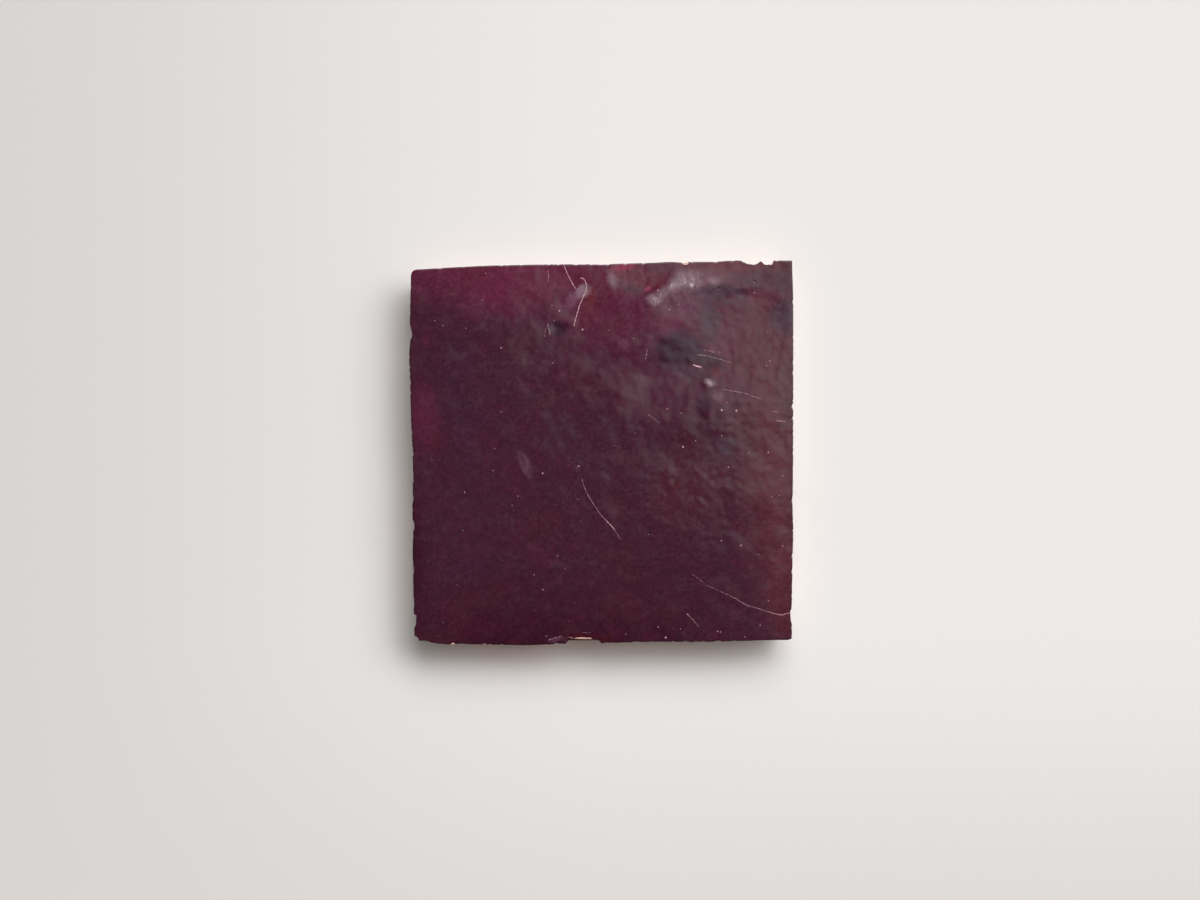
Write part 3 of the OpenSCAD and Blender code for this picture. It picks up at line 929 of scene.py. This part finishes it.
@dataclass
class TileSkin:
    """The tile's whole surface as one closed mesh, laid on the cut solid and given its fine relief.

    Sizes are in millimetres. A ring is a closed row of points round the tile, one for each column. Sides and
    corners are numbered from 0, counter-clockwise from the near side and from its left end.
    """

    node: str = "tile"
    cells: int = 268
    rim_steps: tuple[float, ...] = (0.0, 0.02, 0.06, 0.12, 0.2, 0.3, 0.45, 0.65, 0.95, 1.3)
    core_inset: float = 3.0
    rim_drop: float = 0.32
    outline_drop: float = 1.14
    side_rows: tuple[float, ...] = (0.025, 0.05, 0.08, 0.115, 0.155, 0.2, 0.25, 0.305, 0.365, 0.43, 0.5,
                                    0.57, 0.64, 0.71, 0.78, 0.84, 0.89, 0.93, 0.965)
    last_row: float = 0.998
    taper: float = 2.4
    smooth_passes: int = 40
    edge_fade: int = 12
    relief_fade: float = 3.0
    chip_window: int = 15
    corner_columns: int = 12
    chip_least: float = 0.14
    chip_sure: float = 0.3
    chip_deepest: tuple[float, ...] = (0.75, 9.0, 9.0, 9.0)
    round_corner: int = 3
    corner_round: float = 1.7
    rim_width: float = 0.5
    glaze_edge: float = 0.5
    bare_fade: float = 0.2
    foot_rows: int = 2
    even_reaches: tuple[int, ...] = (4, 3, 2)
    relief: Relief = Relief()
    sides: Sides = Sides()

    solid: CutSolid = field(init=False)
    mesh: bmesh.types.BMesh = field(init=False)
    cover: bmesh.types.BMLayerItem = field(init=False)
    fresh: bmesh.types.BMLayerItem = field(init=False)
    rim: bmesh.types.BMLayerItem = field(init=False)
    face: np.ndarray = field(init=False)
    rings: list[np.ndarray] = field(init=False)
    places: np.ndarray = field(init=False)
    below: np.ndarray = field(init=False)
    chipped: np.ndarray = field(init=False)
    covered: np.ndarray = field(init=False)

    COVER = "glaze_cover"
    RIM = "rim"
    FRESH = "fresh_clay"

    def build(self) -> bpy.types.Object:
        """Build the skin.

        Returns:
            The finished piece.
        """
        self.solid = CutSolid(self.node)
        self.mesh = bmesh.new()
        self.cover, self.fresh, self.rim = (self.mesh.verts.layers.float.new(name)
                                            for name in (self.COVER, self.FRESH, self.RIM))
        self.face = self.make_face()
        self.rings = self.extrude_sides()
        self.find_rings()
        self.find_chips()
        self.blunt_corner()
        self.break_sides()
        self.lay_face()
        self.lay_sides()
        self.close_back()
        return make_object("glazed_tile", self.mesh, Glaze().make())

    def spread(self) -> np.ndarray:
        """Space the columns, closer together at the rim.

        Returns:
            The shares of the width at which they stand.
        """
        width = 2 * self.solid.half.mean()
        steps = np.array(self.rim_steps)
        inner = np.linspace(steps[-1], width - steps[-1], self.cells - 2 * (len(steps) - 1) + 1)
        return np.concatenate([steps[:-1], inner, (width - steps[:-1])[::-1]]) / width

    def make_face(self) -> np.ndarray:
        """Make the face's grid.

        Returns:
            Its vertices, by column and row.
        """
        bmesh.ops.create_grid(self.mesh, x_segments=self.cells, y_segments=self.cells, size=1.0)
        table = np.empty((self.cells + 1, self.cells + 1), dtype=object)
        for vertex in self.mesh.verts:
            table[tuple(round((part + 1) / 2 * self.cells) for part in vertex.co[:2])] = vertex
        return table

    @staticmethod
    def border(table: np.ndarray) -> np.ndarray:
        """List what stands on the border of a square array, counter-clockwise from its low corner."""
        return np.concatenate([table[:-1, 0], table[-1, :-1], table[:0:-1, -1], table[0, :0:-1]])

    def extrude_sides(self) -> list[np.ndarray]:
        """Draw the sides down from the face's border, one row after another.

        Returns:
            The rings of vertices, the face's border first.
        """
        rings = [self.border(self.face)]
        for _ in range(len(self.side_rows) + 1):
            ring = rings[-1]
            drawn = bmesh.ops.extrude_edge_only(self.mesh, edges=self.ring_edges(ring))["geom"]
            new = {v for v in drawn if isinstance(v, bmesh.types.BMVert)}
            below = [next(e.other_vert(v) for e in v.link_edges if e.other_vert(v) in new) for v in ring]
            rings.append(np.array(below, dtype=object))
        return rings

    def ring_edges(self, ring: np.ndarray) -> list[bmesh.types.BMEdge]:
        """Give the edges between a ring's vertices."""
        return [self.mesh.edges.get(pair) for pair in zip(ring, np.roll(ring, -1))]

    def columns(self) -> tuple[np.ndarray, np.ndarray]:
        """Set the columns out round the tile.

        Returns:
            Each column's place on the core square inside the tile, and its direction outwards.
        """
        shares = self.spread() * 2 - 1
        square = np.stack(np.meshgrid(shares, shares, indexing="ij"), axis=-1) * self.solid.half
        outer = self.border(square)
        limit = self.solid.half - self.core_inset
        core = np.clip(outer, -limit, limit)
        outwards = outer - core
        return core, outwards / np.linalg.norm(outwards, axis=1)[:, None]

    def ring_at(self, heights: np.ndarray) -> np.ndarray:
        """Find the solid's surface all round at given heights.

        Args:
            heights: each column's height.

        Returns:
            The places, one for each column.
        """
        solid = self.solid
        core, outwards = self.columns()
        found = []
        for place, way, height in zip(core, outwards, heights):
            drawn_in = 1 - self.taper * (1 - height / solid.top) / (solid.half[0] - self.core_inset)
            inner = place * drawn_in + solid.middle
            met = solid.hit((*(inner + way * solid.far_out), height), (-way[0], -way[1], 0.0))
            found.append(met if met is not None else np.array([*(inner + way * self.core_inset), height]))
        return np.array(found)

    def find_rings(self) -> None:
        """Find where the sides' rings lie on the solid, from the rim down to the back."""
        solid = self.solid
        outline = self.ring_at(np.full(len(self.rings[0]), solid.top - self.outline_drop))[:, :2]
        inside = solid.middle + (outline - solid.middle) * (1 - self.rim_steps[-1] / solid.half.mean())
        rim_height = self.even(solid.drop_to(inside)) - self.rim_drop
        shares = (0.0, *self.side_rows, self.last_row)
        self.places = np.array([self.ring_at(rim_height * (1 - share)) for share in shares])
        self.places[-1, :, 2] = 0.0
        self.below = self.places[0, :, 2] - self.places[..., 2]

    def blunt_corner(self) -> None:
        """Wear the far left corner round."""
        radius = self.corner_round
        for ring in self.places:
            spot = self.round_corner * self.cells
            near = ring[spot - self.chip_window:spot + self.chip_window, :2]
            middle = np.array([near[:, 0].min() + radius, near[:, 1].max() - radius])
            away = ring[:, :2] - middle
            outside = (away[:, 0] < 0) & (away[:, 1] > 0)
            length = np.maximum(np.linalg.norm(away, axis=1), radius)
            ring[outside, :2] = (middle + away * (radius / length)[:, None])[outside]

    def find_chips(self) -> None:
        """Find the chips: notches that a rolling strip of the outline would bridge."""
        reach, count = self.chip_window, self.cells
        self.chipped = np.zeros(self.places.shape[:2])
        along = np.arange(count)
        off_corner = (along >= self.corner_columns) & (along < count - self.corner_columns)
        for side, way in enumerate(((0, -1), (1, 0), (0, 1), (-1, 0))):
            columns = slice(side * count, (side + 1) * count)
            stand = bridged = self.places[:, columns, :2] @ np.array(way)
            for pick in (np.max, np.min):
                wide = np.pad(bridged, ((0, 0), (reach, reach)), mode="edge")
                bridged = pick([wide[:, k:k + count] for k in range(2 * reach + 1)], axis=0)
            notch = bridged - stand
            filled = np.clip(notch - self.chip_deepest[side], 0, None) * off_corner
            self.places[:, columns, :2] += filled[..., None] * np.array(way)
            share = (notch - self.chip_least) / (self.chip_sure - self.chip_least)
            self.chipped[:, columns] = np.clip(share, 0, 1) * off_corner
        self.chipped[:, self.chipped[0] == 0] = 0

    def break_sides(self) -> None:
        """Nibble the rim, roughen the sides and work out how far the glaze comes down them."""
        sides, rim = self.sides, self.places[0]
        half_bare = 1 - self.glaze_edge
        skin = 1 - half_bare * self.below / sides.runs(rim)
        scar = 1 - half_bare * (self.below + sides.scar_start * self.rim_drop) / sides.scar_skin
        self.covered = np.clip(np.minimum(skin, skin + (scar - skin) * self.chipped), 0, 1)
        bare = np.clip((self.glaze_edge - self.covered) / self.bare_fade, 0, 1)
        inwards = sides.nibbles(rim) * np.clip(1 - self.below / sides.nibble_fade, 0, 1)
        inwards = inwards + sides.roughness(self.places, self.below) * bare + sides.glaze_thick * bare
        inwards[-self.foot_rows:] /= 2
        self.places[..., :2] -= self.columns()[1] * inwards[..., None]

    def plan_face(self) -> np.ndarray:
        """Spread the face's grid inside the outline.

        Returns:
            The places in plan, by column and row.
        """
        count = self.cells
        outline = self.places[0, :, :2]
        near, right = outline[:count + 1], outline[count:2 * count + 1]
        far = outline[2 * count:3 * count + 1][::-1]
        left = np.concatenate([outline[3 * count:], outline[:1]])[::-1]
        share = self.spread()
        u, v = share[:, None, None], share[None, :, None]
        plan = near[0] * (1 - u) * (1 - v) + near[-1] * u * (1 - v) + far[0] * (1 - u) * v + far[-1] * u * v
        straight = share[:, None]
        for side, fade in ((near[:, None], 1 - v), (far[:, None], v), (left[None], 1 - u), (right[None], u)):
            ends = side.reshape(-1, 2)[[0, -1]]
            chord = (ends[0] * (1 - straight) + ends[1] * straight).reshape(side.shape)
            plan = plan + (side - chord) * fade ** self.edge_fade
        return plan

    def lay_face(self) -> None:
        """Drop the face's grid on the solid, even it out and give it its relief."""
        plan = self.plan_face()
        heights = self.solid.drop_to(plan[1:-1, 1:-1])
        heights[heights < self.places[0, :, 2].min() - self.rim_drop] = np.nan
        heights = self.even_rim(self.fill_gaps(heights))
        self.set_places(self.face[1:-1, 1:-1], np.dstack([plan[1:-1, 1:-1], heights]))
        middle = slice(len(self.rim_steps) - 1, 1 - len(self.rim_steps))
        open_face = list(self.face[middle, middle].ravel())
        for _ in range(self.smooth_passes):
            bmesh.ops.smooth_vert(self.mesh, verts=open_face, factor=0.5, use_axis_z=True)
        self.press_relief(plan)

    def press_relief(self, plan: np.ndarray) -> None:
        """Press the relief into the face and the rim, and mark what is glazed and what lies at the rim.

        Args:
            plan: the face's places in plan.
        """
        depth, rim_depth = self.relief.depth(plan), self.relief.depth(self.places[0])
        least = depth.min()
        share = self.spread()
        inset = np.minimum(share, 1 - share) * 2 * self.solid.half.mean()
        inset = np.minimum(inset[:, None], inset[None, :])
        inner = (table[1:-1, 1:-1].ravel() for table in (self.face, depth - least, inset))
        for vertex, lower, far in zip(*inner):
            vertex.co.z -= lower * MM
            vertex[self.cover] = 1.0
            vertex[self.rim] = max(0.0, 1 - far / self.rim_width)
        self.places[..., 2] -= (rim_depth - least) * np.clip(1 - self.below / self.relief_fade, 0, 1)

    def even(self, levels: np.ndarray) -> np.ndarray:
        """Even out a closed ring.

        Args:
            levels: the heights of its points.

        Returns:
            The evened heights.
        """
        for reach in self.even_reaches:
            levels = np.mean([np.roll(levels, shift) for shift in range(-reach, reach + 1)], axis=0)
        return levels

    def even_rim(self, heights: np.ndarray) -> np.ndarray:
        """Even out the rings next to the rim, each along its own way round.

        Args:
            heights: the heights inside the rim.

        Returns:
            The evened heights.
        """
        numbers = np.arange(heights.size).reshape(heights.shape)
        flat = heights.ravel()
        for inset in range(len(self.rim_steps) - 1):
            ring = self.border(numbers[inset:len(numbers) - inset, inset:len(numbers) - inset])
            flat[ring] = self.even(flat[ring])
        return flat.reshape(heights.shape)

    @staticmethod
    def fill_gaps(heights: np.ndarray) -> np.ndarray:
        """Fill missing heights from their neighbours.

        Args:
            heights: the heights, NaN where one is missing.

        Returns:
            The heights without gaps.
        """
        missed = int(np.isnan(heights).sum())
        while np.isnan(heights).any():
            wide = np.pad(heights, 1, constant_values=np.nan)
            around = np.array([wide[:-2, 1:-1], wide[2:, 1:-1], wide[1:-1, :-2], wide[1:-1, 2:]])
            known = ~np.isnan(around)
            mean = np.where(known, around, 0).sum(axis=0) / np.maximum(known.sum(axis=0), 1)
            heights = np.where(np.isnan(heights) & known.any(axis=0), mean, heights)
        log.info("face laid, %d places filled from their neighbours", missed)
        return heights

    def lay_sides(self) -> None:
        """Lay the rings and mark what the glaze covers and where the clay is freshly broken."""
        for ring, places, covered, chipped in zip(self.rings, self.places, self.covered, self.chipped):
            self.set_places(ring, places)
            for vertex, share, chip in zip(ring, covered, chipped):
                vertex[self.cover] = share
                vertex[self.fresh] = chip
                vertex[self.rim] = 1.0

    @staticmethod
    def set_places(vertices: np.ndarray, places: np.ndarray) -> None:
        """Move vertices to places in millimetres."""
        for vertex, place in zip(vertices.ravel(), places.reshape(-1, 3)):
            vertex.co = Vector(place) * MM

    def close_back(self) -> None:
        """Close the back with one flat face, with a crisp edge round it."""
        edges = self.ring_edges(self.rings[-1])
        bmesh.ops.contextual_create(self.mesh, geom=edges)
        bmesh.ops.recalc_face_normals(self.mesh, faces=self.mesh.faces)
        for face in self.mesh.faces:
            face.smooth = True
        for edge in edges:
            edge.smooth = False


@dataclass(frozen=True)
class Photo:
    """The photograph's frame, in its own pixels, and how the tile stands in it."""

    width: int = 1200
    height: int = 900
    pixels_per_mm: float = 3.833
    tile_x: float = 601.15
    tile_y: float = 452.95


@dataclass(frozen=True)
class Window:
    """A soft patch of light in the sky, with its direction and reach in degrees."""

    azimuth: float
    elevation: float
    core: float
    reach: float
    strength: float

    def light(self, way: Wire) -> Wire:
        """Give the light that comes from a direction.

        Args:
            way: the direction.

        Returns:
            The light.
        """
        azimuth, elevation = math.radians(self.azimuth), math.radians(self.elevation)
        level = math.cos(elevation)
        middle = (math.cos(azimuth) * level, math.sin(azimuth) * level, math.sin(elevation))
        core, reach = math.cos(math.radians(self.core)), math.cos(math.radians(self.reach))
        return way.vector("DOT_PRODUCT", middle, out="Value").step(reach, core, 0.0, self.strength)


@dataclass
class Studio:
    """The floor, the light and the camera. Sizes are in millimetres."""

    photo: Photo = Photo()
    camera_height: float = 1100.0
    sensor: float = 36.0
    floor_size: float = 6000.0
    face_height: float = 12.0
    windows: tuple[Window, ...] = (
        Window(30, 46, 5, 27, 4.5), Window(75, 50, 5, 28, 4.45), Window(38, 80.5, 3, 9.3, 1.4))
    horizon: float = 0.4
    zenith: float = 0.07

    def build(self) -> None:
        """Set up the whole studio."""
        self.add_camera()
        self.add_floor()
        self.add_sky()
        bpy.context.scene.view_settings.view_transform = "Standard"

    def add_camera(self) -> None:
        """Hang the camera over the tile, looking straight down."""
        photo = self.photo
        data = bpy.data.cameras.new("camera")
        data.sensor_width = self.sensor
        seen = photo.width / photo.pixels_per_mm
        data.lens = self.sensor * (self.camera_height - self.face_height) / seen
        camera = bpy.data.objects.new("camera", data)
        aside = (photo.width / 2 - photo.tile_x) / photo.pixels_per_mm
        ahead = (photo.tile_y - photo.height / 2) / photo.pixels_per_mm
        camera.location = Vector((aside, ahead, self.camera_height)) * MM
        bpy.context.scene.collection.objects.link(camera)
        bpy.context.scene.camera = camera

    def add_floor(self) -> None:
        """Lay the pale floor that the tile lies on."""
        mesh = bmesh.new()
        bmesh.ops.create_grid(mesh, x_segments=1, y_segments=1, size=self.floor_size * MM / 2)
        floor = make_object("floor", mesh, PaleFloor().make())

    def add_sky(self) -> None:
        """Light the tile from all round, most of it from two soft windows at the far right."""
        world = bpy.data.worlds.new("studio")
        bpy.context.scene.world = world
        recipe = Recipe(world)
        way = recipe.node("ShaderNodeTexCoord", out="Generated")
        light = way.part("Z").step(0.0, 1.0, self.horizon, self.zenith)
        for window in self.windows:
            light = light + window.light(way)
        recipe.finish(recipe.node("ShaderNodeBackground", None, light, 1.0), "ShaderNodeOutputWorld")


def main() -> None:
    """Build the tile and the studio, and report each piece."""
    logging.basicConfig(level=logging.INFO, format="%(message)s")
    skin = TileSkin()
    piece = skin.build()
    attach(piece, "root")
    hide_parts(skin.node)
    log.info("%s: %d faces", piece.name, len(piece.data.polygons))
    Studio().build()


if __name__ == "__main__":
    main()
